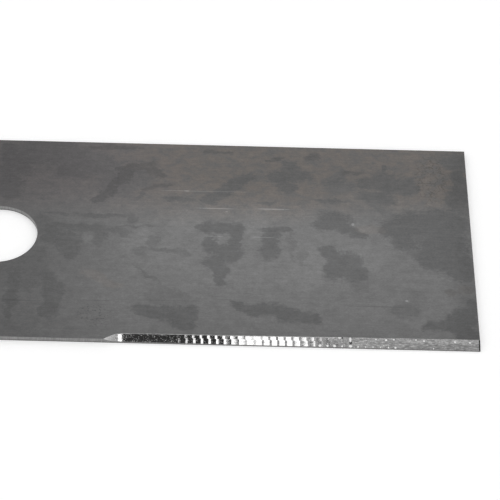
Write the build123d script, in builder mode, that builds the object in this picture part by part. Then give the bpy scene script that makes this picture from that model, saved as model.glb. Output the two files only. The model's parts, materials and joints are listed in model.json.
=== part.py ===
from build123d import *
from math import acos, atan2, ceil, cos, degrees, radians, sqrt, tan
import os

# A two-edged bar blade: a flat blank of hardened spring steel with a punched arbor hole in the
# middle and a cutting edge ground along half of each long side, the two half a turn apart.
#
# Frame, millimetres: +Z up, +X along the blade. The origin is on the axis of the arbor hole, at
# the underside. The edges are ground from the top, and the one on the +X half lies on the -Y side.

# Blank
blade_length = 305.0
blade_width = 90.0
blade_thickness = 1.6

# Arbor hole, punched from the top: a sheared wall, and below it the flared break-out
arbor_hole_diameter = 25.4
break_out_height = 0.45
break_out_flare = 0.06

# The rims on the top face, pulled over a little as the blank and the hole were cut
rolled_rim_radius = 0.12

# Ground edge. It has its full form from edge_start to the tip. Towards the tip the wheel cuts
# deeper, so the flat left under the edge gets thinner and the ground band gets wider.
edge_start = 44.16
land_at_start = 0.65
land_at_tip = 0.36
upper_facet_angle = 16.0
lower_facet_angle = 22.5
ridge_drop_at_start = 0.34
ridge_drop_at_tip = 0.44

# The wheel eases out of the steel at the start of the edge: gently at first, then sharply
run_in_radius = 69.0
run_in_angle = 2.5
run_out_radius = 17.0

# Marks of the wheel's passes, a few microns deep. From a cusp the wheel cuts down over the heel of
# the mark, then rises slowly to the next cusp. The marks of the lower facet lie a little behind.
wheel_radius = 230.0
first_cusp = 1.0
mark_pitch = 2.34
mark_heel = 0.7
mark_depth = 0.0064
lower_mark_lag = 0.42

# Room that the wheel's path has around the steel
wheel_clearance = 1.0

os.makedirs("parts", exist_ok=True)


def facet_widths(land: float, ridge_drop: float) -> tuple[float, float]:
    """Widths of the upper and the lower facet, seen from above, where the land is this high."""
    upper = ridge_drop / tan(radians(upper_facet_angle))
    lower = (blade_thickness - land - ridge_drop) / tan(radians(lower_facet_angle))
    return upper, lower


def wheel_rise(distance: float) -> float:
    """Height of the wheel's rim over the facet at this distance from its lowest point."""
    return wheel_radius - sqrt(wheel_radius**2 - distance**2)


def facet_plane(start: Vector, end: Vector, angle: float) -> Plane:
    """Plane square to a facet, X along the facet's top line, Y out of the steel, Z down the slope."""
    along = (end - start).normalized()
    out_of_facet = Vector(0, 0, 1).rotate(Axis((0, 0, 0), along), angle)
    return Plane(origin=start, x_dir=along, z_dir=along.cross(out_of_facet))


# Lines that the facets start from: the edge of the band on the top face, and the ridge below it
tip = blade_length / 2
near_side = -blade_width / 2
edge_length = tip - edge_start
upper_at_start, lower_at_start = facet_widths(land_at_start, ridge_drop_at_start)
upper_at_tip, lower_at_tip = facet_widths(land_at_tip, ridge_drop_at_tip)

band_start = Vector(edge_start, near_side + lower_at_start + upper_at_start, blade_thickness)
band_tip = Vector(tip, near_side + lower_at_tip + upper_at_tip, blade_thickness)
ridge_start = Vector(edge_start, near_side + lower_at_start, blade_thickness - ridge_drop_at_start)
ridge_tip = Vector(tip, near_side + lower_at_tip, blade_thickness - ridge_drop_at_tip)

# The wheel's path, seen square to a facet: it comes out of the steel along two arcs, the outer
# one up to where the path clears the blank
path_height = blade_thickness + wheel_clearance
run_in_rise = run_in_radius * (1 - cos(radians(run_in_angle)))
steepest = acos(cos(radians(run_in_angle)) - (path_height - run_in_rise) / run_out_radius)
run_out_angle = degrees(steepest) - run_in_angle
slope_length = path_height / tan(radians(upper_facet_angle))
mark_count = ceil((edge_length + wheel_clearance) / mark_pitch)

upper_facet = facet_plane(band_start, band_tip, upper_facet_angle)
lower_facet = facet_plane(ridge_start, ridge_tip, lower_facet_angle)

with BuildPart() as grinding:
    # What the wheel takes off one side, first over the upper facet and then over the lower one
    for facet, lag in ((upper_facet, 0), (lower_facet, lower_mark_lag)):
        with BuildSketch(facet):
            with BuildLine():
                run_in = JernArc((0, 0), tangent=(-1, 0), radius=run_in_radius, arc_size=-run_in_angle)
                run_out = JernArc(
                    run_in @ 1, tangent=run_in % 1, radius=run_out_radius, arc_size=-run_out_angle
                )
                cusp = Vector(first_cusp + lag, wheel_rise(first_cusp + lag))
                stroke = RadiusArc((0, 0), cusp, wheel_radius)
                for _ in range(mark_count):
                    heel = stroke @ 1 + Vector(mark_heel, -mark_depth)
                    cusp = stroke @ 1 + Vector(mark_pitch, 0)
                    RadiusArc(stroke @ 1, heel, wheel_radius)
                    stroke = RadiusArc(heel, cusp, wheel_radius)
                Polyline(stroke @ 1, ((stroke @ 1).X, (run_out @ 1).Y), run_out @ 1)
            make_face()
        extrude(amount=slope_length, both=True)

with BuildPart() as blade:
    with BuildSketch():
        Rectangle(blade_length, blade_width)
        Circle(arbor_hole_diameter / 2, mode=Mode.SUBTRACT)
    extrude(amount=blade_thickness)

    # Rolled rims on the top face, round the blank and round the hole
    fillet(blade.faces().sort_by(Axis.Z)[-1].edges(), radius=rolled_rim_radius)

    # Break-out of the punched hole, widest at the underside
    with BuildSketch():
        Circle(arbor_hole_diameter / 2 + break_out_flare)
    break_out_angle = degrees(atan2(break_out_flare, break_out_height))
    extrude(amount=break_out_height, taper=break_out_angle, mode=Mode.SUBTRACT)

    # The two cutting edges, half a turn apart
    with PolarLocations(radius=0, count=2):
        add(grinding.part, mode=Mode.SUBTRACT)

blade.part.label = "blade"
export_step(blade.part, "parts/blade.step")
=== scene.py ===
import json
import logging
import math
from contextlib import contextmanager
from dataclasses import dataclass
from enum import Enum
from typing import Callable, Iterator, Sequence, Union

import bmesh
import bpy
from mathutils import Matrix, Vector


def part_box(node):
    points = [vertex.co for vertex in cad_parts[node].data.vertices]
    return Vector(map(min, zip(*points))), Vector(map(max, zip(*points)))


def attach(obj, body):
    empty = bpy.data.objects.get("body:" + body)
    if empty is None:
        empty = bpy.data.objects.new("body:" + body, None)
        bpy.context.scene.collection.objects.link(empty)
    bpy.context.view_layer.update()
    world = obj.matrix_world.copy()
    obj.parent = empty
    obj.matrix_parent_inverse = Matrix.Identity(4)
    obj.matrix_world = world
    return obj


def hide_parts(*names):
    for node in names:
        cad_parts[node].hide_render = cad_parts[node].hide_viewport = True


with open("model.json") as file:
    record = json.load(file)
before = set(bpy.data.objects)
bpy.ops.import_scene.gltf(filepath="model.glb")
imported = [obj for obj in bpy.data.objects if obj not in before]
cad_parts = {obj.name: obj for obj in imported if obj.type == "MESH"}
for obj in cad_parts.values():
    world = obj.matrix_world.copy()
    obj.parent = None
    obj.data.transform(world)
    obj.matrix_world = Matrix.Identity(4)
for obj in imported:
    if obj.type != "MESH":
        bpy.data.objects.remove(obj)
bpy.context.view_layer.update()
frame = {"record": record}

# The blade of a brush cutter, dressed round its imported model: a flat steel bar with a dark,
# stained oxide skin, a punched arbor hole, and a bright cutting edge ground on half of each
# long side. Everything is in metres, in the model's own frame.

MM = 0.001

# Two points that are closer than this are one
TOUCH = 1e-7

Element = Union[bmesh.types.BMVert, bmesh.types.BMEdge, bmesh.types.BMFace]

log = logging.getLogger("brush_cutter_blade")


def deg(angle: float) -> float:
    """Degrees as radians."""
    return math.radians(angle)


def tangent(angle: float) -> float:
    """Tangent of an angle in degrees."""
    return math.tan(math.radians(angle))


# Workbench


def pick(obj: bpy.types.Object) -> None:
    """Makes an object the only selected one and the active one.

    Args:
        obj: The object.
    """
    bpy.ops.object.select_all(action="DESELECT")
    obj.select_set(True)
    bpy.context.view_layer.objects.active = obj


@contextmanager
def editing(obj: bpy.types.Object, mode: str = "FACE") -> Iterator[None]:
    """Opens an object in edit mode with nothing selected, and closes it again.

    Args:
        obj: The object to work on.
        mode: What the selection is made of: VERT, EDGE or FACE.

    Returns:
        A context in which the object is open.
    """
    pick(obj)
    bpy.ops.object.mode_set(mode="EDIT")
    bpy.ops.mesh.select_mode(type=mode)
    bpy.ops.mesh.select_all(action="DESELECT")
    yield
    bpy.ops.object.mode_set(mode="OBJECT")


def select(obj: bpy.types.Object, elements: str, wanted: Callable[[Element], bool]) -> None:
    """Selects what passes a test, on an object in edit mode.

    Args:
        obj: The object to work on.
        elements: What is tested: verts, edges or faces.
        wanted: The test.
    """
    mesh = bmesh.from_edit_mesh(obj.data)
    for element in getattr(mesh, elements):
        element.select_set(wanted(element))
    mesh.select_flush_mode()
    bmesh.update_edit_mesh(obj.data)


def settle(obj: bpy.types.Object) -> None:
    """Puts an object's place, turn and size into its mesh."""
    pick(obj)
    bpy.ops.object.transform_apply(location=True, rotation=True, scale=True)


def apply_modifier(obj: bpy.types.Object, kind: str, **settings: object) -> None:
    """Adds a modifier to an object, sets it and applies it.

    Args:
        obj: The object to change.
        kind: The modifier's type.
        settings: The modifier's own settings.
    """
    pick(obj)
    modifier = obj.modifiers.new(kind.lower(), kind)
    for name, value in settings.items():
        setattr(modifier, name, value)
    bpy.ops.object.modifier_apply(modifier=modifier.name)


def cut_away(obj: bpy.types.Object, tool: bpy.types.Object) -> None:
    """Takes a tool's solid out of an object. The cut faces get the tool's finish."""
    settings = {"operation": "DIFFERENCE", "solver": "EXACT", "material_mode": "TRANSFER"}
    apply_modifier(obj, "BOOLEAN", object=tool, **settings)


def clear_away(*objs: bpy.types.Object) -> None:
    """Deletes tools that have done their work."""
    for obj in objs:
        bpy.data.objects.remove(obj)


# Finishes

Value = Union[float, "Signal"]
Colour = tuple[float, float, float, float]


def grey(level: float) -> Colour:
    """A neutral colour of this lightness, linear, from 0 to 1."""
    return (level, level, level, 1.0)


class Signal:
    """A shader socket that can be written into expressions, each of which adds its Math nodes."""

    def __init__(self, sheet: "Sheet", socket: bpy.types.NodeSocket) -> None:
        """Wraps one socket of a sheet."""
        self.sheet = sheet
        self.socket = socket

    def _math(self, operation: str, *values: Value) -> "Signal":
        """Adds one Math node."""
        return self.sheet.add("ShaderNodeMath", {"operation": operation}, dict(enumerate(values)))

    def __add__(self, other: Value) -> "Signal":
        """Sum."""
        return self._math("ADD", self, other)

    def __radd__(self, other: Value) -> "Signal":
        """Sum, with a number on the left."""
        return self._math("ADD", other, self)

    def __sub__(self, other: Value) -> "Signal":
        """Difference."""
        return self._math("SUBTRACT", self, other)

    def __rsub__(self, other: Value) -> "Signal":
        """Difference, with a number on the left."""
        return self._math("SUBTRACT", other, self)

    def __mul__(self, other: Value) -> "Signal":
        """Product."""
        return self._math("MULTIPLY", self, other)

    def __rmul__(self, other: Value) -> "Signal":
        """Product, with a number on the left."""
        return self._math("MULTIPLY", other, self)

    def __truediv__(self, other: Value) -> "Signal":
        """Quotient."""
        return self._math("DIVIDE", self, other)

    def least(self, other: Value) -> "Signal":
        """The smaller of two values."""
        return self._math("MINIMUM", self, other)

    def melt(self, other: Value, width: float) -> "Signal":
        """The smaller of two values, rounded where they cross."""
        return self._math("SMOOTH_MIN", self, other, width)

    def most(self, other: Value) -> "Signal":
        """The larger of two values."""
        return self._math("MAXIMUM", self, other)

    def size(self) -> "Signal":
        """The value without its sign."""
        return self._math("ABSOLUTE", self)

    def ramp(self, low: float, high: float, to_low: float = 0.0, to_high: float = 1.0) -> "Signal":
        """Eases from one value to another while this one goes from low to high.

        Args:
            low: Where the change starts.
            high: Where it ends.
            to_low: The result at low and below.
            to_high: The result at high and above.

        Returns:
            The eased signal.
        """
        return self.sheet.add(
            "ShaderNodeMapRange",
            {"interpolation_type": "SMOOTHSTEP", "clamp": True},
            {"Value": self, "From Min": low, "From Max": high, "To Min": to_low, "To Max": to_high},
        )

    def between(self, low: float, high: float, soft: float) -> "Signal":
        """One where the value lies between two limits, with soft edges."""
        return self.ramp(low - soft, low + soft) * self.ramp(high - soft, high + soft, 1.0, 0.0)


class Sheet:
    """A node tree that a finish, the floor or the world is written on."""

    def __init__(self, tree: bpy.types.NodeTree) -> None:
        """Clears the tree.

        Args:
            tree: The tree to write on.
        """
        self.tree = tree
        self.turns: dict[tuple[str, float], Signal] = {}
        tree.nodes.clear()

    def add(self, kind: str, settings: dict, inputs: dict, output: Union[int, str] = 0) -> Signal:
        """Adds a node.

        Args:
            kind: The node's type.
            settings: Its properties, which are set first.
            inputs: Values or signals for its sockets, by name or number.
            output: The output that the signal stands for, by name or number.

        Returns:
            The signal of that output.
        """
        node = self.tree.nodes.new(kind)
        for name, value in settings.items():
            setattr(node, name, value)
        for key, value in inputs.items():
            socket = node.inputs[key]
            if isinstance(value, Signal):
                self.tree.links.new(value.socket, socket)
            else:
                socket.default_value = value
        return Signal(self, node.outputs[output] if node.outputs else None)

    def vector(self, operation: str, *values: Union[Signal, Sequence[float]]) -> Signal:
        """Adds a Vector Math node.

        Args:
            operation: What it does.
            values: Its vectors.

        Returns:
            The vector, or for a length or a dot product the number.
        """
        output = "Value" if operation in ("LENGTH", "DOT_PRODUCT") else "Vector"
        return self.add("ShaderNodeVectorMath", {"operation": operation}, dict(enumerate(values)), output)

    def scaled(self, vector: Union[Signal, Sequence[float]], factor: Value) -> Signal:
        """A vector or a colour times a number."""
        return self.add("ShaderNodeVectorMath", {"operation": "SCALE"}, {0: vector, "Scale": factor})

    def turned(self, place: Signal, angle: float) -> Signal:
        """A place in axes that are turned about Z, made once for each angle.

        Args:
            place: The place.
            angle: The turn in degrees.

        Returns:
            The place along and across the turned axis.
        """
        key = (place.socket.node.name, angle)
        if key not in self.turns:
            cosine, sine = math.cos(deg(angle)), math.sin(deg(angle))
            along = self.vector("DOT_PRODUCT", place, (cosine, sine, 0.0))
            across = self.vector("DOT_PRODUCT", place, (-sine, cosine, 0.0))
            self.turns[key] = self.add("ShaderNodeCombineXYZ", {}, {"X": along, "Y": across})
        return self.turns[key]

    def parts(self, vector: Signal) -> tuple[Signal, Signal, Signal]:
        """The three numbers of a vector."""
        return tuple(self.add("ShaderNodeSeparateXYZ", {}, {0: vector}, axis) for axis in "XYZ")

    def millimetres(self) -> Signal:
        """The place on the object, in millimetres."""
        place = self.add("ShaderNodeTexCoord", {}, {}, "Object")
        return self.scaled(place, 1 / MM)

    def flat(self, place: Signal) -> Signal:
        """A place with its Z at 0."""
        return self.vector("MULTIPLY", place, (1.0, 1.0, 0.0))

    def noise(
        self, place: Signal, per_mm: Sequence[float], detail: float, output: str = "Fac"
    ) -> Signal:
        """A cloudy noise.

        Args:
            place: Where it is read.
            per_mm: Its waves in each millimetre along X, Y and Z.
            detail: How many finer layers it has.
            output: Fac for a number from 0 to 1, Color for three of them.

        Returns:
            The noise.
        """
        stretched = self.vector("MULTIPLY", place, tuple(per_mm))
        inputs = {"Vector": stretched, "Scale": 1.0, "Detail": detail}
        return self.add("ShaderNodeTexNoise", {}, inputs, output)

    def tinted(self, level: Signal, red: Value, blue: Value) -> Signal:
        """A grey colour with its red and its blue times a factor.

        Args:
            level: The grey's lightness, linear.
            red: The factor of the red.
            blue: The factor of the blue.

        Returns:
            The colour.
        """
        tint = self.add("ShaderNodeCombineXYZ", {}, {"X": red, "Y": 1.0, "Z": blue})
        return self.scaled(tint, level)

    def bump(self, height: Signal, strength: float, depth: float) -> Signal:
        """A relief on the surface.

        Args:
            height: Its height, from 0 to 1.
            strength: How much of it shows.
            depth: The height that 1 stands for, in millimetres.

        Returns:
            The normal.
        """
        inputs = {"Strength": strength, "Distance": depth * MM, "Height": height}
        return self.add("ShaderNodeBump", {}, inputs, "Normal")


@dataclass(frozen=True)
class Finish:
    """What all the finishes share: how the shader is put together."""

    name: str

    def dress(self, sheet: Sheet) -> dict:
        """Works out what feeds the shader.

        Args:
            sheet: The material's tree.

        Returns:
            Values and signals for the shader's sockets.
        """
        raise NotImplementedError

    def make(self) -> bpy.types.Material:
        """Makes the material.

        Returns:
            The finished material.
        """
        material = bpy.data.materials.new(self.name)
        material.use_nodes = True
        sheet = Sheet(material.node_tree)
        shader = sheet.add("ShaderNodeBsdfPrincipled", {}, self.dress(sheet))
        sheet.add("ShaderNodeOutputMaterial", {}, {"Surface": shader})
        return material


@dataclass(frozen=True)
class Layer:
    """One noise of a finish.

    It has so many waves in each millimetre along X, Y and Z, and so many finer ones on top. It
    swings the level by a share, or it shows as a mask that rises between two of its values.
    """

    per_mm: tuple[float, float, float]
    detail: float
    swing: float = 0.0
    shows: tuple[float, float] = (0.0, 1.0)

    def noise(self, sheet: Sheet, place: Signal) -> Signal:
        """The noise itself, from 0 to 1."""
        return sheet.noise(place, self.per_mm, self.detail)

    def factor(self, noise: Signal) -> Signal:
        """What the noise does to the level, as a factor round 1."""
        return 1.0 + (noise - 0.5) * self.swing

    def mask(self, sheet: Sheet, place: Signal) -> Signal:
        """The noise as a mask."""
        return self.noise(sheet, place).ramp(*self.shows)


@dataclass(frozen=True)
class Dab:
    """An oval on the top face, in millimetres, turned by some degrees."""

    x: float
    y: float
    along: float
    across: float
    turn: float = 0.0

    def distance(self, sheet: Sheet, place: Signal) -> Signal:
        """Distance from the oval's middle, where its outline is at 1.

        Args:
            sheet: The material's tree.
            place: Where it is read, in millimetres.

        Returns:
            The distance as a share of the oval's own size.
        """
        middle = Vector((self.x, self.y, 0.0))
        middle.rotate(Matrix.Rotation(-deg(self.turn), 3, "Z"))
        size = (1 / self.along, 1 / self.across, 0.0)
        shift = (-middle.x / self.along, -middle.y / self.across, 0.0)
        local = sheet.vector("MULTIPLY_ADD", sheet.turned(place, self.turn), size, shift)
        return sheet.vector("LENGTH", local)


# Where a mark fades out and where it is full, as a share of its oval's size
CRISP = (1.3, 0.8)
SOFT = (1.3, 0.6)


def spots(sheet: Sheet, flat: Signal, dabs: Sequence[Dab]) -> Signal:
    """A mask of small ovals.

    Args:
        sheet: The material's tree.
        flat: Where it is read, in millimetres, with Z at 0.
        dabs: The ovals.

    Returns:
        The mask, 1 inside the ovals.
    """
    field = dabs[0].distance(sheet, flat)
    for dab in dabs[1:]:
        field = field.least(dab.distance(sheet, flat))
    return field.ramp(*CRISP)


class Tone(Enum):
    """How a stain differs from the skin round it: its level as a share, and its warmth."""

    DEEP = (0.75, -0.004)
    COOL = (0.84, -0.002)
    FAINT = (0.9, 0.0)
    BROWN = (0.82, 0.016)
    PALE = (1.07, 0.0)
    RUSTY = (1.04, 0.028)

    def __init__(self, share: float, warmth: float) -> None:
        """Names the two numbers."""
        self.share = share
        self.warmth = warmth


@dataclass(frozen=True)
class Stain:
    """A stain: a few ovals that melt together. The name says what its outline is like."""

    name: str
    tone: Tone
    dabs: tuple[Dab, ...]


# Stains of the top face that have a shape of their own, and among them patches of painted shade and of
# painted sheen
STAINS = (
    Stain(
        "fork_stem",
        Tone.DEEP,
        (
            Dab(32, 18, 3.5, 2, 45), Dab(35, 22, 3.5, 2, 60), Dab(38, 27, 4, 2.5, 60),
        ),
    ),
    Stain("fork_tip", Tone.DEEP, (Dab(40, 31, 3.5, 2.5, 60), Dab(38, 33, 3, 1.5, 15))),
    Stain(
        "fork_branch",
        Tone.BROWN,
        (
            Dab(43, 34, 5, 1.6), Dab(47, 35, 2.5, 1.5, 15), Dab(49, 31.5, 4.4, 2.2, -45),
        ),
    ),
    Stain("fork_haze", Tone.FAINT, (Dab(40, 27.5, 11, 7.5, 30), Dab(30, 34, 7, 6))),
    Stain("slant_low", Tone.COOL, (Dab(45, 19.5, 3.6, 0.9, 45),)),
    Stain("slant_high", Tone.BROWN, (Dab(50.5, 24, 5.5, 1.1, 15),)),
    Stain("dash", Tone.COOL, (Dab(58, 18, 5.5, 1.1),)),
    Stain(
        "leaf",
        Tone.COOL,
        (
            Dab(68, 18.5, 3.2, 2.4), Dab(72, 22, 4.2, 2.4, 60), Dab(76, 26, 5, 2.3, 60),
            Dab(80, 29, 3, 1.8, 60),
        ),
    ),
    Stain(
        "clover",
        Tone.COOL,
        (
            Dab(93.5, 34.5, 3, 2.8), Dab(90, 30, 4, 2.8), Dab(96.5, 30.5, 4.6, 2.8),
            Dab(93, 25, 3, 3.2),
        ),
    ),
    Stain(
        "hoof",
        Tone.FAINT,
        (
            Dab(110, 31, 3.6, 1.7, 30), Dab(109, 26.5, 4.3, 3.3), Dab(113.5, 26, 2.4, 1.9),
        ),
    ),
    Stain("hoof_rim", Tone.BROWN, (Dab(115, 32.5, 4.2, 0.9),)),
    Stain(
        "cloud",
        Tone.COOL,
        (
            Dab(119, 27.5, 3.3, 2.4), Dab(126, 28, 6, 5.2, -15), Dab(132, 26.5, 4.2, 4, -45),
            Dab(123, 20.5, 6.4, 3.2, -15), Dab(125, 35.5, 0.9, 2.2),
        ),
    ),
    Stain("cloud_tail", Tone.FAINT, (Dab(122.5, 16, 4.5, 1.6, -45), Dab(126, 12.5, 2.8, 1.8, -30))),
    Stain("long_dash", Tone.COOL, (Dab(106.5, 19, 5.5, 1.1),)),
    Stain(
        "fish",
        Tone.DEEP,
        (
            Dab(104.5, 8, 3.4, 2.8), Dab(108, 10, 5.6, 3.8), Dab(112, 6.5, 4, 2.5, -30),
            Dab(116, 3.5, 3.2, 1.6, -15),
        ),
    ),
    Stain(
        "boot",
        Tone.DEEP,
        (
            Dab(88.5, 5.2, 4.2, 1.3), Dab(92, 5, 2.6, 1.3, -15), Dab(88, 2, 2.8, 3.6),
            Dab(87.5, -3.5, 3.2, 5.2),
        ),
    ),
    Stain("drip", Tone.FAINT, (Dab(94.5, -2.5, 0.9, 6.5), Dab(98, -7.5, 1.3, 4.5))),
    Stain(
        "mitten",
        Tone.DEEP,
        (
            Dab(106.5, -4.5, 2.9, 2.6), Dab(111.5, -9, 6.2, 4.2), Dab(108.5, -13, 4.4, 3.8),
            Dab(115, -14, 4, 3.6),
        ),
    ),
    Stain("mitten_cuff", Tone.FAINT, (Dab(116.5, -19, 2.6, 4.4),)),
    Stain(
        "tip_cloud",
        Tone.DEEP,
        (
            Dab(128, 6.5, 4.8, 4.4), Dab(135, 9, 8, 6), Dab(143, 9, 9, 7.5), Dab(143, -1, 8.5, 7.5),
            Dab(146, -8, 6.5, 6.5), Dab(149, -13.5, 4, 3.5), Dab(139, -7, 5.5, 4.4, -45),
            Dab(131, 0.5, 4.6, 4, -45),
        ),
    ),
    Stain(
        "end_column",
        Tone.COOL,
        (
            Dab(151.7, 38, 1.6, 5), Dab(148, 32, 1.7, 3), Dab(150.3, 28, 2.7, 8.8),
            Dab(148.3, 20, 3.2, 6),
        ),
    ),
    Stain("low_blot", Tone.COOL, (Dab(130, -30, 4.2, 3.6, 15),)),
    Stain("low_blot_neck", Tone.FAINT, (Dab(134, -24, 2.5, 3.5),)),
    Stain(
        "corner",
        Tone.DEEP,
        (
            Dab(148.5, -32.5, 4.4, 5), Dab(143.5, -34.5, 6, 2.8, 30), Dab(138, -36, 4, 1.8, 30),
            Dab(151, -28, 2.4, 4), Dab(147, -37.5, 5, 2), Dab(149.5, -40, 4.4, 2.6),
        ),
    ),
    Stain(
        "boat",
        Tone.DEEP,
        (
            Dab(86, -31, 7.6, 2.7), Dab(94, -33, 7.8, 3.2, -15), Dab(101, -34, 2.5, 1.9),
        ),
    ),
    Stain("boat_stern", Tone.DEEP, (Dab(78.5, -30, 4.3, 1.7, -45), Dab(82, -32, 3.4, 1.9, -30))),
    Stain("low_dot", Tone.FAINT, (Dab(107, -31.5, 2.6, 1.8),)),
    Stain(
        "whale",
        Tone.DEEP,
        (
            Dab(49.5, -32.3, 5.6, 2.3, -15), Dab(57.5, -34, 6.8, 3.8, -15), Dab(61.5, -37.5, 3.6, 3.2),
            Dab(63, -33, 2.8, 3.4),
        ),
    ),
    Stain("whale_back", Tone.FAINT, (Dab(53.5, -25.7, 5.4, 3.2), Dab(59, -27.5, 3.2, 3.4))),
    Stain(
        "belt",
        Tone.COOL,
        (
            Dab(20, 3.5, 6.4, 2.1), Dab(28, 3.7, 8, 1.9), Dab(17, 0, 2.6, 3.6), Dab(23, -2.5, 4.6, 4),
            Dab(24, -7.5, 3.5, 3.6), Dab(33, 0, 2.4, 4.4), Dab(37.5, 3.2, 3.8, 1.5),
        ),
    ),
    Stain(
        "comb_line",
        Tone.COOL,
        (
            Dab(17.5, 10.2, 4.5, 0.7), Dab(34, 9.8, 9, 0.9), Dab(43, 8.3, 1.3, 2.6),
        ),
    ),
    Stain("comb_thread", Tone.COOL, (Dab(44.5, 5.1, 7, 0.45),)),
    Stain(
        "smudges",
        Tone.COOL,
        (
            Dab(41, 1.2, 1.9, 1.7), Dab(49.7, -2, 2.8, 2.4, 45), Dab(46, -6.3, 2.6, 1.6),
            Dab(52.5, -5.8, 7.5, 0.9), Dab(59, -6.4, 2.8, 1.3),
        ),
    ),
    Stain("short_slant", Tone.COOL, (Dab(49, -17, 5.6, 0.6, -45),)),
    Stain(
        "pillar_head",
        Tone.DEEP,
        (
            Dab(67, 5, 2.6, 2.6), Dab(72, 4.8, 5, 2.4), Dab(76.5, 3.4, 2.2, 4.4),
        ),
    ),
    Stain(
        "pillar_body",
        Tone.DEEP,
        (
            Dab(68.3, -2.8, 2.4, 4), Dab(74, -6, 4.4, 4.2), Dab(70, -10.5, 4.4, 2.9),
            Dab(76.3, -2.6, 2.2, 5.4), Dab(72, -15, 2.4, 3.6), Dab(71.6, -19, 1.8, 2.6),
        ),
    ),
    Stain(
        "posts",
        Tone.COOL,
        (
            Dab(7, -25, 2.1, 10.5), Dab(6.6, -34.5, 1.5, 3.4), Dab(18, -20.5, 5.4, 2.6, -45),
            Dab(19.7, -28, 3, 7.8), Dab(18.3, -33.5, 2.2, 3.8),
        ),
    ),
    Stain("far_corner", Tone.COOL, (Dab(2.5, 32.5, 5.6, 5.6, -30), Dab(0, 40, 3.6, 3.6), Dab(1, 22, 5, 6))),
    Stain("far_dot", Tone.COOL, (Dab(20.3, 31.4, 3.4, 2.8),)),
    # Painted shade: darker patches towards the far corner, round the hole and at the tip, with the broad
    # painted shade
    Stain("far_haze", Tone.FAINT, (Dab(14, 39, 15, 6), Dab(23, 33, 6, 7))),
    Stain("hole_haze", Tone.FAINT, (Dab(13.5, 5, 4, 4.5), Dab(12, -14, 5.5, 11), Dab(3, -15, 6, 5))),
    Stain("tip_haze", Tone.FAINT, (Dab(150.5, -21, 5.5, 8), Dab(150, 15, 4.5, 6), Dab(149, 40, 5, 4))),
    Stain(
        "far_strip",
        Tone.BROWN,
        (
            Dab(35, 42.9, 10.5, 1.2), Dab(88.5, 38.4, 3.4, 1, 15), Dab(101.5, 40.3, 3, 1.5, 30),
            Dab(70, 42, 5, 1),
        ),
    ),
    Stain("near_end", Tone.BROWN, (Dab(145, -21, 2.5, 1.6, 15), Dab(149.5, -20, 1.9, 2.2))),
    Stain("arch", Tone.COOL, (Dab(86.7, 17.4, 3, 0.8, 15),)),
    Stain(
        "eye",
        Tone.PALE,
        (
            Dab(70.8, -0.5, 1.3, 1.7), Dab(29, -0.6, 1.2, 2.6), Dab(107.5, -15.5, 1.6, 1.4),
        ),
    ),
    # Painted sheen: lighter patches in the middle of the top face
    Stain(
        "middle_shine",
        Tone.PALE,
        (
            Dab(60, 8, 5, 5), Dab(83, 8, 4, 9), Dab(100, -12, 4.5, 10), Dab(118, -8, 6, 5, -30),
            Dab(45, -2, 5, 6),
        ),
    ),
    Stain(
        "rust_bloom",
        Tone.RUSTY,
        (
            Dab(33, -18, 5, 2.2, -30), Dab(38, -22, 3.5, 1.6, -15), Dab(120, 6, 5, 2.2),
        ),
    ),
)

# Fine lines and specks of the top face
BRIGHT_SCRATCHES = (
    Dab(59.5, 22.2, 7.5, 0.1),
    Dab(60, 22.2, 0.9, 0.3),
    Dab(73.5, 22.3, 7, 0.08),
    Dab(69.5, 14.2, 5.9, 0.22),
    Dab(73.3, 12.8, 0.4, 0.2),
    Dab(88.4, 14.5, 4.9, 0.3),
    Dab(85, 1.3, 3.9, 0.12),
    Dab(69.5, 1.2, 2.9, 0.1),
    Dab(114.3, 8.3, 0.45, 0.6),
    Dab(130.5, -25.6, 0.45, 0.45),
)
DARK_SCRATCHES = (
    Dab(9.8, -29.4, 6.2, 0.22),
    Dab(33.5, -28.6, 5, 0.2),
    Dab(121, -28.4, 9.4, 0.22),
    Dab(56, -28, 12, 0.1),
)

# Small dents of the ground edge, painted as white spots for the glints they catch, most of them along its
# lower rim, and two pits that are dark
DENT_GLINTS = (
    Dab(103.2, -44.65, 0.45, 0.35),
    Dab(105.5, -44.65, 0.35, 0.3),
    Dab(107.7, -44.65, 0.4, 0.35),
    Dab(110, -44.7, 0.25, 0.25),
    Dab(112.6, -44.6, 0.5, 0.35),
    Dab(114.9, -44.7, 0.2, 0.25),
    Dab(117.2, -44.7, 0.15, 0.2),
    Dab(119.5, -44.7, 0.15, 0.2),
    Dab(121.8, -44.7, 0.15, 0.2),
    Dab(124.2, -44.7, 0.2, 0.25),
    Dab(126.4, -44.7, 0.35, 0.25),
    Dab(138.1, -44.7, 0.15, 0.2),
    Dab(109.2, -41.9, 0.5, 0.4),
    Dab(112.5, -42.5, 0.3, 0.85),
    Dab(120.4, -42.3, 0.25, 0.15),
    Dab(123.5, -42.4, 0.35, 0.3),
    Dab(125.9, -42.2, 0.3, 0.2),
    Dab(132.7, -42.1, 0.25, 0.2),
    Dab(135.2, -42.4, 0.2, 0.3),
    Dab(144.7, -42.5, 0.3, 0.25),
    Dab(149.3, -42.6, 0.3, 0.2),
)
PITS = (
    Dab(112.6, -43.6, 0.45, 0.4),
    Dab(110.1, -42, 0.22, 0.4),
)


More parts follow.
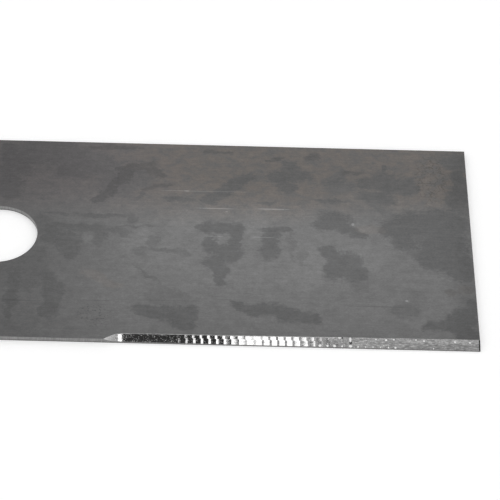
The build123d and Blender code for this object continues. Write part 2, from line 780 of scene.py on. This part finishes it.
@dataclass(frozen=True)
class OxideFace(Finish):
    """The flat faces: a dark satin oxide with stains, fine rolling lines and a few scratches.

    Stains with a shape of their own lie on the top face of the +X half. They end a little past
    the arbor hole, and scattered ones take their place. Places are in millimetres.
    """

    top: float = 1.6
    level: float = 0.212
    roughness: float = 0.42
    metal: float = 0.9
    shown_from: float = -6.0
    hidden_from: float = -18.0

    # The skin's own noises, from broad to fine
    wave: Layer = Layer((0.03, 0.04, 5.0), 2.0)
    mottle: Layer = Layer((0.22, 0.3, 5.0), 4.0, swing=0.42)
    patchy: Layer = Layer((0.55, 0.8, 2.0), 3.0, swing=0.34)
    streak: Layer = Layer((0.05, 1.6, 0.0), 3.0, swing=0.2)
    grain: Layer = Layer((1.6, 2.4, 0.0), 2.0, swing=0.44)

    # Painted shades that wander by this much, where each starts and is full, and a painted sheen in the
    # middle
    wander: float = 14.0
    far_shade: float = 0.2
    far_from: tuple[float, float] = (6.0, 32.0)
    near_shade: float = 0.1
    near_from: tuple[float, float] = (-26.0, -42.0)
    sides_from: tuple[float, float] = (-100.0, -8.0)
    hole_level: float = 0.76
    hole_from: tuple[float, float] = (48.0, 4.0)
    tip_level: float = 0.84
    tip_from: tuple[float, float] = (140.0, 152.0)
    lighter_middle: Dab = Dab(84, -3, 44, 20)
    middle_gain: float = 0.12

    # Colour: brown towards the far side and in patches, plum beside the arbor hole there
    warmest: float = 0.055
    brown_wander: float = 24.0
    brown_from: tuple[float, float] = (4.0, 26.0)
    brown_along: tuple[float, float, float, float] = (12.0, 58.0, 0.3, 1.0)
    brown_patches: tuple[float, float, float, float] = (0.36, 0.6, 0.25, 1.5)
    plum: float = 0.018
    plum_along: tuple[float, float] = (70.0, 20.0)

    # Stains
    scattered: Layer = Layer((0.05, 0.06, 9.0), 4.0, shows=(0.52, 0.58))
    ragged: Layer = Layer((0.2, 0.26, 0.0), 5.0)
    ragged_reach: tuple[float, float, float] = (7.0, 5.0, 0.0)
    fray: Layer = Layer((0.8, 1.1, 0.0), 4.0)
    melt: float = 0.25
    stain_edge: tuple[float, float] = (1.3, 0.75)
    stain_hides_warmth: float = 0.85

    # Freckles, a crazed and pitted patch, and scratches
    freckled: Dab = Dab(33.5, -35, 5.6, 5)
    freckles: Layer = Layer((1.3, 1.5, 0.0), 1.0, swing=0.28, shows=(0.56, 0.66))
    crazed: Dab = Dab(140.5, 30.5, 5, 12)
    craze_bend: Layer = Layer((0.4, 0.4, 0.0), 3.0)
    craze_reach: float = 3.0
    craze_cells: tuple[float, float, float] = (0.4, 0.3, 0.0)
    craze_line: tuple[float, float] = (0.07, 0.01)
    craze_patches: tuple[float, float] = (0.38, 0.5)
    craze_depth: float = 0.26
    pitting: Layer = Layer((0.9, 1.1, 0.0), 2.0, swing=0.14, shows=(0.54, 0.64))
    dark_scratch: float = 0.18
    bright_scratch: float = 0.11
    scratch_gloss: float = 0.12

    # Gloss and relief
    gloss_swing: float = 0.12
    relief_share: float = 0.35
    relief: float = 0.01

    def placed_stains(self, sheet: Sheet, place: Signal) -> dict[Tone, Signal]:
        """Masks of the stains that have a shape of their own.

        Args:
            sheet: The material's tree.
            place: Where they are read, in millimetres.

        Returns:
            One mask for each tone.
        """
        swing = sheet.noise(place, self.ragged.per_mm, self.ragged.detail, "Color")
        swing = sheet.vector("SUBTRACT", swing, (0.5, 0.5, 0.5))
        swing = sheet.vector("MULTIPLY", swing, self.ragged_reach)
        torn = sheet.vector("ADD", sheet.flat(place), swing)
        fray = self.fray.noise(sheet, place) - 0.5
        fields: dict[Tone, Signal] = {}
        for stain in STAINS:
            for dab in stain.dabs:
                distance = dab.distance(sheet, torn)
                known = fields.get(stain.tone)
                fields[stain.tone] = known.melt(distance, self.melt) if known else distance
        return {tone: (field + fray).ramp(*self.stain_edge) for tone, field in fields.items()}

    def broad_shade(self, x: Signal, y: Signal, wave: Signal) -> Signal:
        """A broad painted shade: how the level darkens towards the hole, the tips and the sides.

        Args:
            x: The place along the blade.
            y: The place across it.
            wave: The noise that the shades wander with.

        Returns:
            A factor of the level, up to 1.
        """
        swing = (wave - 0.5) * self.wander
        across, along = y + swing, x.size() + swing
        far = across.ramp(*self.far_from, 0.0, self.far_shade)
        near = across.ramp(*self.near_from, 0.0, self.near_shade)
        hole = along.ramp(*self.hole_from, 1.0, self.hole_level)
        tip = along.ramp(*self.tip_from, 1.0, self.tip_level)
        return hole * tip * (1.0 - (far + near) * x.ramp(*self.sides_from))

    def cracks(self, sheet: Sheet, place: Signal) -> Signal:
        """Fine dark cracks in the oxide.

        Args:
            sheet: The material's tree.
            place: Where they are read, in millimetres.

        Returns:
            A mask of them.
        """
        bend = sheet.noise(place, self.craze_bend.per_mm, self.craze_bend.detail, "Color")
        bent = sheet.vector("ADD", place, sheet.scaled(bend, self.craze_reach))
        inputs = {"Vector": sheet.vector("MULTIPLY", bent, self.craze_cells), "Scale": 1.0}
        cells = sheet.add("ShaderNodeTexVoronoi", {"feature": "DISTANCE_TO_EDGE"}, inputs, "Distance")
        return cells.ramp(*self.craze_line)

    def flaws(self, sheet: Sheet, place: Signal, patchy: Signal) -> Signal:
        """Freckles near the hole, and the cracks and pits near the tip, as a factor of the level.

        Args:
            sheet: The material's tree.
            place: Where they are read, in millimetres.
            patchy: The noise that breaks the cracks up.

        Returns:
            The factor, up to 1.
        """
        flat = sheet.flat(place)
        freckled = self.freckled.distance(sheet, flat).ramp(*SOFT)
        crazed = self.crazed.distance(sheet, flat).ramp(*CRISP)
        freckles = self.freckles.mask(sheet, place) * self.freckles.swing
        cracks = self.cracks(sheet, place) * patchy.ramp(*self.craze_patches) * self.craze_depth
        pits = self.pitting.mask(sheet, place) * self.pitting.swing
        return (1.0 - freckles * freckled) * (1.0 - cracks.most(pits) * crazed)

    def dress(self, sheet: Sheet) -> dict:
        """Works out the oxide's colour, its gloss and its fine lines.

        Args:
            sheet: The material's tree.

        Returns:
            Values and signals for the shader's sockets.
        """
        place = sheet.millimetres()
        flat = sheet.flat(place)
        x, y, z = sheet.parts(place)
        is_top = z.ramp(self.top * 0.4, self.top * 0.6)
        shown = is_top * x.ramp(self.hidden_from, self.shown_from)
        wave = self.wave.noise(sheet, place)
        mottle = self.mottle.noise(sheet, place)
        patchy = self.patchy.noise(sheet, place)
        streak = self.streak.noise(sheet, place)
        grain = self.grain.noise(sheet, place)

        # Painted shade and painted sheen: the level darkens broadly towards the hole, the tips and the
        # sides, and is lighter in the middle
        middle = self.lighter_middle.distance(sheet, flat).ramp(*SOFT) * shown
        level = self.level * (1.0 - (1.0 - self.broad_shade(x, y, wave)) * is_top)
        level = level * self.mottle.factor(mottle) * self.patchy.factor(patchy)
        level = level * self.streak.factor(streak) * self.grain.factor(grain)
        level = level * (1.0 + middle * self.middle_gain)

        browned = (y + (wave - 0.5) * self.brown_wander).ramp(*self.brown_from, 0.0, self.warmest)
        browned = browned * x.ramp(*self.brown_along)
        warmth = browned * (mottle * 0.6 + patchy * 0.4).ramp(*self.brown_patches)
        plum = x.ramp(*self.plum_along) * y.ramp(*self.brown_from) * self.plum * shown

        scattered = self.scattered.mask(sheet, place) * (1.0 - shown)
        darkness = scattered * (1.0 - Tone.COOL.share)
        cover: Value = 0.0
        shine: Value = 0.0
        rust: Value = 0.0
        for tone, mask in self.placed_stains(sheet, place).items():
            mask = mask * shown
            rust = mask * tone.warmth + rust
            if tone.share < 1.0:
                darkness = darkness.most(mask * (1.0 - tone.share))
                cover = mask.most(cover)
            else:
                shine = (mask * (tone.share - 1.0)).most(shine)
        warmth = warmth * (1.0 - cover * self.stain_hides_warmth) + rust
        level = level * (1.0 - darkness * (0.75 + mottle * 0.5)) * (1.0 + shine)
        level = level * (1.0 - (1.0 - self.flaws(sheet, place, patchy)) * shown)

        scored = spots(sheet, flat, DARK_SCRATCHES) * shown
        scratched = spots(sheet, flat, BRIGHT_SCRATCHES) * shown
        level = level * (1.0 - scored * self.dark_scratch) + scratched * self.bright_scratch
        red = 1.0 + warmth * 1.15 + plum * 2.0
        blue = 1.0 - warmth * 0.85 + plum
        rough = self.roughness + (mottle - 0.5) * self.gloss_swing - scratched * self.scratch_gloss
        return {
            "Base Color": sheet.tinted(level, red, blue),
            "Metallic": self.metal,
            "Roughness": rough,
            "Normal": sheet.bump(streak * 0.6 + grain * 0.4, self.relief_share, self.relief),
        }


@dataclass(frozen=True)
class ShearedWall(Finish):
    """The cut sides: steel with fine lines down the cut, and a duller torn strip under them."""

    level: float = 0.27
    roughness: float = 0.38
    red: float = 1.006
    blue: float = 0.994
    drag: Layer = Layer((2.2, 2.2, 0.25), 3.0, swing=0.9)
    blotch: Layer = Layer((0.35, 0.35, 1.2), 3.0, swing=0.5)
    torn_below: float = 0.45
    torn_soft: float = 0.08
    torn_wander: float = 0.25
    torn_darker: float = 0.22
    torn_rougher: float = 0.15
    tip_level: float = 0.8
    tip_from: tuple[float, float] = (90.0, 150.0)
    relief_share: float = 0.6
    relief: float = 0.02

    def dress(self, sheet: Sheet) -> dict:
        """Works out the cut's lines and its torn strip.

        Args:
            sheet: The material's tree.

        Returns:
            Values and signals for the shader's sockets.
        """
        place = sheet.millimetres()
        x, _, z = sheet.parts(place)
        drag = self.drag.noise(sheet, place)
        blotch = self.blotch.noise(sheet, place)
        height = z + (drag - 0.5) * self.torn_wander
        torn = height.ramp(self.torn_below + self.torn_soft, self.torn_below - self.torn_soft)
        level = self.level * self.drag.factor(drag) * self.blotch.factor(blotch)
        level = level * (1.0 - torn * self.torn_darker)
        level = level * x.size().ramp(*self.tip_from, 1.0, self.tip_level)
        return {
            "Base Color": sheet.tinted(level, self.red, self.blue),
            "Metallic": 1.0,
            "Roughness": self.roughness + torn * self.torn_rougher,
            "Normal": sheet.bump(drag, self.relief_share, self.relief),
        }


@dataclass(frozen=True)
class GroundEdge(Finish):
    """The ground facets: bright steel with fine lines along the edge, and dull specks.

    Near the start they are bright, and past some length they turn satin and then duller. The
    places along the edge are in millimetres from the arbor hole.
    """

    top: float = 1.6
    tip: float = 152.5
    level: float = 0.6
    roughness: float = 0.025
    red: float = 1.004
    blue: float = 0.996
    fine: Layer = Layer((0.12, 5.0, 5.0), 3.0, swing=0.5)
    coarse: Layer = Layer((0.06, 1.6, 1.6), 2.0, swing=0.6)
    dash: Layer = Layer((0.6, 3.5, 3.5), 3.0)
    dash_swing: float = 0.5
    dash_swing_at_tip: float = 1.4
    grit: Layer = Layer((1.0, 1.8, 1.8), 3.0, swing=1.5)
    dots: Layer = Layer((2.0, 3.6, 3.6), 1.0, shows=(0.6, 0.7))
    bright_to: tuple[float, float] = (58.0, 66.0)
    satin_from: tuple[float, float] = (102.0, 112.0)
    dull_from: tuple[float, float] = (105.0, 150.0)
    dull_shade: tuple[float, float, float, float] = (1.35, 0.9, 0.04, 0.24)
    rim_drop: tuple[float, float] = (0.09, 0.02)
    rim_rougher: float = 0.3
    speck_far: float = 0.4
    speck_lighter: float = 0.25
    speck_rougher: float = 0.3
    glint_dent_rougher: float = 0.5
    pit_darker: float = 0.8
    # A painted dark reflection at the tip: where it sets in from the tip, and how much darker and rougher
    # it is
    dark_reflection_strip: tuple[float, float] = (0.5, 0.3)
    dark_reflection_darker: float = 0.95
    dark_reflection_rougher: float = 0.2
    relief: float = 0.0018

    def dress(self, sheet: Sheet) -> dict:
        """Works out the grinding lines, the specks, the dents with their painted glints and the painted
        dark reflection at the tip.

        Args:
            sheet: The material's tree.

        Returns:
            Values and signals for the shader's sockets.
        """
        place = sheet.millimetres()
        flat = sheet.flat(place)
        x, _, z = sheet.parts(place)
        along = x.size()
        fine = self.fine.noise(sheet, place)
        coarse = self.coarse.noise(sheet, place)
        dash = self.dash.noise(sheet, place)
        grit = self.grit.noise(sheet, place)

        bright = along.ramp(*self.bright_to, 1.0, 0.0)
        satin = along.ramp(*self.satin_from)
        dull = along.ramp(*self.dull_from)
        under_rim = z.ramp(*(self.top - drop for drop in self.rim_drop))
        # Painted dark reflection: the facet's last half millimetre at the tip is made nearly black
        dark_reflection_tip = along.ramp(*(self.tip - strip for strip in self.dark_reflection_strip))
        speck = self.dots.mask(sheet, place) * (self.speck_far + bright * (1.0 - self.speck_far))
        glint_dent = spots(sheet, flat, DENT_GLINTS)
        pit = spots(sheet, flat, PITS)

        dashed = self.dash_swing + dull * (self.dash_swing_at_tip - self.dash_swing)
        level = self.level * self.fine.factor(fine) * self.coarse.factor(coarse)
        level = level * (1.0 + (dash - 0.5) * dashed) * (1.0 + (grit - 0.5) * satin * self.grit.swing)
        level = level * (1.0 - dull * z.ramp(*self.dull_shade)) * (1.0 + speck * self.speck_lighter)
        level = level * (1.0 - dark_reflection_tip * self.dark_reflection_darker) * (1.0 - pit * self.pit_darker)
        # Painted glints: the dents are made white, and not metal, in the colour
        level = level.most(glint_dent)
        rough = speck * self.speck_rougher + under_rim * self.rim_rougher
        rough = rough + dark_reflection_tip * self.dark_reflection_rougher + glint_dent * self.glint_dent_rougher
        return {
            "Base Color": sheet.tinted(level, self.red, self.blue),
            "Metallic": 1.0 - glint_dent,
            "Roughness": self.roughness + rough,
            "Normal": sheet.bump(fine + coarse, 1.0, self.relief),
        }


@dataclass(frozen=True)
class WhiteFloor:
    """A floor that stays white in the picture and in what the steel mirrors, but takes a shadow."""

    name: str = "floor_white"
    level: float = 0.85
    lift: float = 0.36

    def make(self) -> bpy.types.Material:
        """Makes the material.

        Returns:
            The finished material.
        """
        material = bpy.data.materials.new(self.name)
        material.use_nodes = True
        sheet = Sheet(material.node_tree)
        seen = sum(
            sheet.add("ShaderNodeLightPath", {}, {}, ray)
            for ray in ("Is Camera Ray", "Is Glossy Ray", "Is Transmission Ray")
        )
        plain = sheet.add("ShaderNodeBsdfDiffuse", {}, {"Color": grey(self.level)})
        glow = sheet.add(
            "ShaderNodeEmission", {}, {"Color": grey(1.0), "Strength": seen.least(1.0) * self.lift}
        )
        both = sheet.add("ShaderNodeAddShader", {}, {0: plain, 1: glow})
        sheet.add("ShaderNodeOutputMaterial", {}, {"Surface": both})
        return material


class Skin(Enum):
    """The finishes of the blade, in the order of its material slots."""

    WALL = 0
    FACE = 1
    GROUND = 2


# Grinding wheel


@dataclass
class WheelPath:
    """What the grinding wheel takes off one facet.

    The wheel eases out of the steel at the start of the edge, and leaves a shallow mark at each
    step: a short steep stroke down from a cusp, then a long one up to the next.
    """

    start: Vector
    tip: Vector
    angle: float
    first_cusp: float
    ground: bpy.types.Material
    run_out_radius: float = 17.0 * MM
    run_in_radius: float = 69.0 * MM
    run_in_angle: float = deg(2.5)
    wheel_radius: float = 230.0 * MM
    mark_pitch: float = 2.34 * MM
    mark_heel: float = 0.7 * MM
    mark_depth: float = 0.0064 * MM
    reach: float = 9.0 * MM
    height: float = 3.0 * MM
    steps: int = 4
    run_out_steps: int = 128
    past_tip: float = 1.0 * MM

    def edge_across(self, name: str, place: float, rise: float) -> bpy.types.Object:
        """A lone edge across the slope.

        Args:
            name: The object's name.
            place: Its place along the cutting edge.
            rise: Its height over the facet.

        Returns:
            The object that holds it.
        """
        bpy.ops.mesh.primitive_plane_add(size=2 * self.reach, location=(place + self.reach, 0, rise))
        obj = bpy.context.object
        obj.name = name
        settle(obj)
        with editing(obj, "VERT"):
            select(obj, "verts", lambda v: v.co.x > place + self.reach)
            bpy.ops.mesh.delete(type="VERT")
        return obj

    def sweep(
        self, obj: bpy.types.Object, place: float, axis: Sequence[float], angle: float, steps: int
    ) -> None:
        """Sweeps the edge at a place round the wheel's axis.

        Args:
            obj: The object in hand.
            place: Where the edge lies along the cutting edge.
            axis: A point on the wheel's axis.
            angle: How far it turns, towards the tip if above 0.
            steps: The number of faces that it leaves.
        """
        with editing(obj, "VERT"):
            select(obj, "verts", lambda v: abs(v.co.x - place) < TOUCH)
            bpy.ops.mesh.select_mode(type="EDGE")
            bpy.ops.mesh.spin(steps=steps, angle=angle, center=axis, axis=(0, 1, 0))

    def stroke(self, obj: bpy.types.Object, begin: Vector, end: Vector, steps: int) -> None:
        """Sweeps the edge from one point of the path to another, round a wheel above them.

        Args:
            obj: The object in hand.
            begin: The point that the edge is at, along the cutting edge and above the facet.
            end: The point that it goes to.
            steps: The number of faces that it leaves.
        """
        chord = end - begin
        half = chord.length / 2
        up = Vector((-chord.y, chord.x)).normalized()
        axis = (begin + end) / 2 + up * math.sqrt(self.wheel_radius**2 - half**2)
        self.sweep(obj, begin.x, (axis.x, 0, axis.y), 2 * math.asin(half / self.wheel_radius), steps)

    def first_rise(self) -> float:
        """Height of the cusps over the facet."""
        return self.wheel_radius - math.sqrt(self.wheel_radius**2 - self.first_cusp**2)

    def entry(self) -> bpy.types.Object:
        """The gentle run-in, the run-out before it and the way to the first cusp.

        Returns:
            The object that holds them.
        """
        obj = self.edge_across("entry", 0, 0)
        self.sweep(obj, 0, (0, 0, self.run_in_radius), -self.run_in_angle, 2 * self.steps)
        sine, cosine = math.sin(self.run_in_angle), math.cos(self.run_in_angle)
        eased = -self.run_in_radius * sine
        excess = self.run_in_radius - self.run_out_radius
        axis = (-excess * sine, 0, self.run_in_radius - excess * cosine)
        turn = math.acos(1 - self.height / self.run_out_radius) - self.run_in_angle
        self.sweep(obj, eased, axis, -turn, self.run_out_steps)
        self.stroke(obj, Vector((0, 0)), Vector((self.first_cusp, self.first_rise())), self.steps)
        return obj

    def passes(self) -> bpy.types.Object:
        """One mark, repeated to past the tip.

        Returns:
            The object that holds the marks.
        """
        cusp = Vector((self.first_cusp, self.first_rise()))
        heel = cusp + Vector((self.mark_heel, -self.mark_depth))
        obj = self.edge_across("passes", *cusp)
        self.stroke(obj, cusp, heel, self.steps)
        self.stroke(obj, heel, cusp + Vector((self.mark_pitch, 0)), 2 * self.steps)
        count = math.ceil(((self.tip - self.start).length + self.past_tip) / self.mark_pitch)
        apply_modifier(
            obj,
            "ARRAY",
            count=count,
            use_relative_offset=False,
            use_constant_offset=True,
            constant_offset_displace=(self.mark_pitch, 0, 0),
        )
        return obj

    def make(self) -> bpy.types.Object:
        """Makes the tool, in place.

        Returns:
            A closed solid over the facet.
        """
        tool, passes = self.entry(), self.passes()
        pick(tool)
        passes.select_set(True)
        bpy.ops.object.join()
        with editing(tool):
            bpy.ops.mesh.select_all(action="SELECT")
            bpy.ops.mesh.remove_doubles(threshold=TOUCH)
            bpy.ops.mesh.extrude_region_move(TRANSFORM_OT_translate={"value": (0, 0, self.height)})
            bpy.ops.mesh.select_all(action="SELECT")
            bpy.ops.mesh.normals_make_consistent(inside=False)
        along = self.tip - self.start
        tool.rotation_euler = (self.angle, -math.atan2(along.z, along.x), math.atan2(along.y, along.x))
        tool.location = self.start
        settle(tool)
        tool.data.materials.append(self.ground)
        return tool


# Blade


@dataclass
class Blade:
    """The one piece of steel: a blank, its punched hole and its two ground edges."""

    low: Vector
    high: Vector
    hole_radius: float
    materials: dict[Skin, bpy.types.Material]
    break_out_height: float = 0.45 * MM
    break_out_flare: float = 0.06 * MM
    rolled_rim: float = 0.12 * MM
    rim_steps: int = 3
    hole_sides: int = 192
    edge_start: float = 44.16 * MM
    first_cusp: float = 1.0 * MM
    land_at_start: float = 0.65 * MM
    land_at_tip: float = 0.36 * MM
    ridge_drop_at_start: float = 0.34 * MM
    ridge_drop_at_tip: float = 0.44 * MM
    upper_angle: float = deg(16.0)
    lower_angle: float = deg(22.5)
    lower_lag: float = 0.42 * MM
    cusp_angle: float = deg(0.35)
    corner_angle: float = deg(35)

    @property
    def thickness(self) -> float:
        """The steel's thickness."""
        return self.high.z - self.low.z

    def blank(self) -> bpy.types.Object:
        """The flat bar.

        Returns:
            The object.
        """
        size = self.high - self.low
        bpy.ops.mesh.primitive_cube_add(size=1, location=(self.low + self.high) / 2, scale=size)
        obj = bpy.context.object
        obj.name = "ground_blade"
        settle(obj)
        for skin in (Skin.WALL, Skin.FACE):
            obj.data.materials.append(self.materials[skin])
        with editing(obj):
            select(obj, "faces", lambda f: abs(f.normal.z) > 0.9)
            obj.active_material_index = Skin.FACE.value
            bpy.ops.object.material_slot_assign()
        return obj

    def punch(self) -> bpy.types.Object:
        """The punch, with the break-out's flare at its lower end.

        Returns:
            The tool, in place.
        """
        top = self.high.z + self.thickness
        foot = self.low.z + self.break_out_height
        bpy.ops.mesh.primitive_cylinder_add(
            vertices=self.hole_sides,
            radius=self.hole_radius,
            depth=top - foot,
            location=(0, 0, (top + foot) / 2),
        )
        obj = bpy.context.object
        settle(obj)
        drop = 2 * self.break_out_height
        spread = 1 + 2 * self.break_out_flare / self.hole_radius
        with editing(obj):
            select(obj, "faces", lambda f: f.normal.z < -0.9)
            bpy.ops.mesh.extrude_region_move(TRANSFORM_OT_translate={"value": (0, 0, -drop)})
            bpy.ops.transform.resize(value=(spread, spread, 1), center_override=(0, 0, 0))
            bpy.ops.mesh.select_all(action="SELECT")
            bpy.ops.mesh.normals_make_consistent(inside=False)
        obj.data.materials.append(self.materials[Skin.WALL])
        return obj

    def roll_rims(self, obj: bpy.types.Object) -> None:
        """Rounds the rims of the top face, round the blank and the hole.

        Args:
            obj: The punched blank.
        """

        def on_rim(edge: bmesh.types.BMEdge) -> bool:
            """Whether an edge lies on a rim of the top face."""
            level = all(abs(v.co.z - self.high.z) < TOUCH for v in edge.verts)
            return level and len(edge.link_faces) == 2 and edge.calc_face_angle() > deg(45)

        with editing(obj, "EDGE"):
            select(obj, "edges", on_rim)
            bpy.ops.mesh.bevel(
                offset=self.rolled_rim, segments=self.rim_steps, affect="EDGES", material=Skin.WALL.value
            )

    def facet_widths(self, land: float, ridge_drop: float) -> tuple[float, float]:
        """Widths of the two facets seen from above.

        Args:
            land: Height of the flat left under them.
            ridge_drop: How far the ridge between them lies under the top face.

        Returns:
            The upper and the lower width.
        """
        upper = ridge_drop / math.tan(self.upper_angle)
        lower = (self.thickness - land - ridge_drop) / math.tan(self.lower_angle)
        return upper, lower

    def wheel_paths(self) -> list[WheelPath]:
        """The wheel's paths over the two facets of the edge on the +X half.

        Returns:
            The path over the upper facet, then the one over the lower.
        """
        upper_start, lower_start = self.facet_widths(self.land_at_start, self.ridge_drop_at_start)
        upper_tip, lower_tip = self.facet_widths(self.land_at_tip, self.ridge_drop_at_tip)
        near, top = self.low.y, self.high.z
        begin, end = self.edge_start, self.high.x
        ground = self.materials[Skin.GROUND]
        upper = WheelPath(
            Vector((begin, near + lower_start + upper_start, top)),
            Vector((end, near + lower_tip + upper_tip, top)),
            self.upper_angle,
            self.first_cusp,
            ground,
        )
        lower = WheelPath(
            Vector((begin, near + lower_start, top - self.ridge_drop_at_start)),
            Vector((end, near + lower_tip, top - self.ridge_drop_at_tip)),
            self.lower_angle,
            self.first_cusp + self.lower_lag,
            ground,
        )
        return [upper, lower]

    def grind(self, obj: bpy.types.Object) -> None:
        """Grinds one edge, then the other with the blade turned half round.

        Args:
            obj: The blank with its rims rolled.
        """
        tools = [path.make() for path in self.wheel_paths()]
        for side in ("near", "far"):
            for tool in tools:
                cut_away(obj, tool)
            obj.rotation_euler.z = math.pi
            settle(obj)
            log.info("%s edge ground", side)
        clear_away(*tools)

    def sharpen(self, obj: bpy.types.Object) -> None:
        """Shades the piece smooth, but for its real edges and the cusps between the wheel's marks.

        Args:
            obj: The ground blade.
        """

        def is_sharp(edge: bmesh.types.BMEdge) -> bool:
            """Whether an edge is a real one.

            Args:
                edge: The edge.

            Returns:
                True at a corner, at the rim of a ground facet and at a cusp.
            """
            if len(edge.link_faces) != 2:
                return True
            ground = [face.material_index == Skin.GROUND.value for face in edge.link_faces]
            limit = self.cusp_angle if any(ground) else self.corner_angle
            return ground[0] != ground[1] or edge.calc_face_angle() > limit

        pick(obj)
        bpy.ops.object.shade_smooth()
        with editing(obj, "EDGE"):
            select(obj, "edges", is_sharp)
            bpy.ops.mesh.mark_sharp()
        apply_modifier(obj, "WEIGHTED_NORMAL", keep_sharp=True)

    def make(self) -> bpy.types.Object:
        """Makes the whole blade.

        Returns:
            The finished piece.
        """
        obj = self.blank()
        punch = self.punch()
        cut_away(obj, punch)
        clear_away(punch)
        log.info("hole punched, %d faces", len(obj.data.polygons))
        self.roll_rims(obj)
        self.grind(obj)
        self.sharpen(obj)
        log.info("blade ready, %d faces", len(obj.data.polygons))
        return obj


# Studio


@dataclass
class Studio:
    """The floor, the light and the camera."""

    blade_top: float
    floor_side: float = 6.0
    floor_drop: float = 0.02 * MM
    yaw: float = deg(0.377)
    pitch: float = deg(44.676)
    roll: float = deg(1.684)
    aim: tuple[float, float] = (81.136 * MM, -4.659 * MM)
    distance: float = 686.2 * MM
    focal_pixels: float = 2146.2
    frame_pixels: float = 500.0
    sensor: float = 36.0

    # Light from all round: brighter up to one height, dimmer from another
    horizon: float = 1.0
    dome: float = 0.75
    bright_below: float = 0.57
    dim_above: float = 0.8

    # What hangs overhead, from the left to the right: a dark flag, a bright strip with a darker
    # margin beside it, and a grey card. Where they end is in degrees from straight up.
    near_end: float = -28.0
    far_end: float = 32.0
    flag: float = 0.05
    flag_from: float = -28.0
    strip: float = 2.0
    strip_from: float = -0.12
    strip_to: float = 1.75
    margin: float = 0.36
    margin_to: float = 2.75
    card_near: float = 0.5
    card_far: float = 0.85
    card_to: float = 38.0

    # As directions: the least height reckoned with, the heights where what hangs overhead sets
    # in, and how soft its borders are
    lowest: float = 0.05
    overhead_from: tuple[float, float] = (0.3, 0.4)
    end_soft: float = 0.03
    side_soft: float = 0.002
    strip_soft: float = 0.0012
    card_shades: tuple[float, float] = (0.03, 0.5)

    def camera(self) -> None:
        """Sets the camera as the photograph was taken."""
        aim = Vector((*self.aim, self.blade_top))
        turn = Matrix.Rotation(-self.yaw, 3, "Z") @ Matrix.Rotation(deg(90) - self.pitch, 3, "X")
        turn = turn @ Matrix.Rotation(self.roll, 3, "Z")
        data = bpy.data.cameras.new("camera")
        data.sensor_width = self.sensor
        data.lens = self.focal_pixels / self.frame_pixels * self.sensor
        camera = bpy.data.objects.new("camera", data)
        camera.matrix_world = turn.to_4x4()
        camera.location = aim + turn @ Vector((0, 0, self.distance))
        bpy.context.scene.collection.objects.link(camera)
        bpy.context.scene.camera = camera

    def floor(self) -> None:
        """A plain pale floor, just under the blade."""
        bpy.ops.mesh.primitive_plane_add(size=self.floor_side, location=(0, 0, -self.floor_drop))
        floor = bpy.context.object
        floor.name = "floor"
        floor.data.materials.append(WhiteFloor().make())

    def world(self) -> None:
        """The light that comes from all round, with what hangs over the cutting edge."""
        world = bpy.data.worlds.new("studio")
        world.use_nodes = True
        sheet = Sheet(world.node_tree)
        x, y, z = sheet.parts(sheet.add("ShaderNodeTexCoord", {}, {}, "Generated"))
        up = z.most(self.lowest)
        across, away = x / up, y / up
        overhead = away.between(tangent(self.near_end), tangent(self.far_end), self.end_soft)
        overhead = overhead * z.ramp(*self.overhead_from)
        flag = overhead * across.between(tangent(self.flag_from), 0.0, self.side_soft)
        card = overhead * across.between(0.0, tangent(self.card_to), self.side_soft)
        strip = across.between(tangent(self.strip_from), tangent(self.strip_to), self.strip_soft)
        strip = overhead * strip
        margin = across.ramp(tangent(self.strip_to), tangent(self.margin_to), self.margin, 0.0)
        shade = across.ramp(*self.card_shades, self.card_near, self.card_far) - margin
        light = z.ramp(self.bright_below, self.dim_above, self.horizon, self.dome)
        light = light + flag * (self.flag - light)
        light = light + card * (shade - light)
        light = light + strip * (self.strip - light)
        glow = sheet.add("ShaderNodeBackground", {}, {"Color": grey(1.0), "Strength": light})
        sheet.add("ShaderNodeOutputWorld", {}, {"Surface": glow})
        bpy.context.scene.world = world

    def make(self) -> None:
        """Sets up the whole stage."""
        self.floor()
        self.world()
        self.camera()
        settings = bpy.context.scene.view_settings
        settings.view_transform = "Standard"


def main() -> None:
    """Builds the blade and its stage."""
    logging.basicConfig(level=logging.INFO, format="%(message)s")
    low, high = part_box("blade")
    mounts = {mount["name"]: mount for mount in frame["record"]["mounts"]}
    materials = {
        Skin.WALL: ShearedWall("sheared_steel").make(),
        Skin.FACE: OxideFace("oxide_steel", top=high.z / MM).make(),
        Skin.GROUND: GroundEdge("ground_steel", top=high.z / MM, tip=high.x / MM).make(),
    }
    blade = Blade(low, high, mounts["arbor_hole"]["dims"]["r_mm"] * MM, materials)
    piece = blade.make()
    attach(piece, "root")
    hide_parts("blade")
    Studio(high.z).make()


if __name__ == "__main__":
    main()
